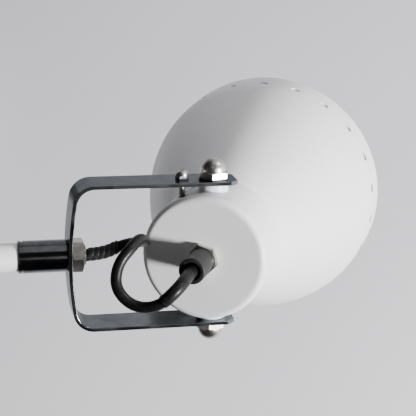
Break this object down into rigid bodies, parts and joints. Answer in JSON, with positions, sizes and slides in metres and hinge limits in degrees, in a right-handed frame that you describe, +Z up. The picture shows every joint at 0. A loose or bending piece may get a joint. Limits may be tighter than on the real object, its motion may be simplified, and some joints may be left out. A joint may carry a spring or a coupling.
{
  "type": "swing arm desk lamp",
  "caption": "Desk lamp with a weighted round base, two pivoting tube arms and a bell shade tilting in a U bracket.",
  "frame": {"origin": "centre of the base's underside, where it rests on the table", "axes": "+Z up, +X from the base towards the head, Y along the hinge pins"},
  "size_m": [0.5052, 0.18, 0.5157],
  "materials": {
    "white_paint": "satin white powder coat",
    "white_cup": "satin white powder coat",
    "dark_chrome": "polished black nickel",
    "steel_strip": "bright rolled and plated steel",
    "nickel": "nickel plate",
    "zinc_steel": "zinc plate",
    "cast_weight": "rough black cast iron",
    "rubber_pad": "matte black rubber",
    "cable_black": "smooth black flex",
    "black_plastic": "moulded black plastic",
    "nylon": "milky nylon",
    "button_plastic": "white gloss plastic",
    "bakelite": "black phenolic",
    "brass_contact": "plain brass",
    "bulb_glass": "frosted glass",
    "bulb_metal": "rolled thread"
  },
  "bodies": {
    "base": {"base_cover": "white_paint", "base_pad": "rubber_pad", "base_plate": "zinc_steel", "base_screws": "zinc_steel", "base_weight": "cast_weight", "mains_inlet": "black_plastic", "switch_bezel": "nickel", "switch_housing": "black_plastic", "switch_spring": "zinc_steel", "swivel_bush": "nylon"},
    "button": {"switch_button": "button_plastic"},
    "swivel": {"swivel_stem": "white_paint", "swivel_nut": "zinc_steel", "swivel_washer": "zinc_steel", "shoulder_fork": "dark_chrome", "shoulder_pin": "zinc_steel", "shoulder_acorn_nuts": "nickel"},
    "lower_arm": {"shoulder_tongue": "dark_chrome", "shoulder_washers": "nylon", "shoulder_ferrule": "dark_chrome", "lower_arm_tube": "white_paint", "lower_arm_lead": "cable_black", "elbow_lower_ferrule": "dark_chrome", "elbow_fork": "dark_chrome", "elbow_pin": "zinc_steel", "elbow_acorn_nuts": "nickel"},
    "upper_arm": {"elbow_tongue": "dark_chrome", "elbow_washers": "nylon", "elbow_upper_ferrule": "dark_chrome", "upper_arm_tube": "white_paint", "upper_arm_lead": "cable_black", "head_end_ferrule": "dark_chrome", "swivel_nipple": "nickel", "yoke_nut": "nickel"},
    "yoke": {"yoke_bracket": "steel_strip", "tilt_stop_screw": "nickel", "tilt_stop_nut": "zinc_steel", "head_cable": "cable_black", "ribbed_sleeve": "black_plastic"},
    "head": {"lamp_cup": "white_cup", "lamp_shade": "white_paint", "pivot_acorn_nuts": "nickel", "pivot_studs": "zinc_steel", "pivot_washers": "nylon", "cable_gland": "black_plastic", "gland_locknut": "nickel", "gland_inner_nut": "zinc_steel", "holder_strap": "zinc_steel", "lampholder_body": "bakelite", "shade_ring": "bakelite", "holder_contact": "brass_contact", "bulb_cap": "bulb_metal", "bulb_glass": "bulb_glass", "gland_boot": "cable_black"}
  },
  "joints": [
    {"name": "base_swivel", "type": "hinge", "parent": "base", "child": "swivel", "pos_m": [0, 0, 0.0246], "axis": [0, 0, 1], "range_deg": [-170, 170]},
    {"name": "shoulder", "type": "hinge", "parent": "swivel", "child": "lower_arm", "pos_m": [0, 0, 0.072], "axis": [0, 1, 0], "range_deg": [-25, 33]},
    {"name": "elbow", "type": "hinge", "parent": "lower_arm", "child": "upper_arm", "pos_m": [-0.06124, 0, 0.50772], "axis": [0, 1, 0], "range_deg": [-100, 10]},
    {"name": "yoke_swivel", "type": "hinge", "parent": "upper_arm", "child": "yoke", "pos_m": [0.35043, 0, 0.30247], "axis": [0.8949, 0, -0.4462], "range_deg": [-160, 160]},
    {"name": "head_tilt", "type": "hinge", "parent": "yoke", "child": "head", "pos_m": [0.35043, 0, 0.30247], "axis": [0, -1, 0], "range_deg": [-61, 18], "deforming": ["head_cable"]},
    {"name": "switch_press", "type": "slide", "parent": "base", "child": "button", "axis": [-0.057, 0, -0.9984], "range_m": [0, 0.0025], "stiffness_N_per_m": 400, "springref_m": -0.001, "deforming": ["switch_spring"]}
  ]
}
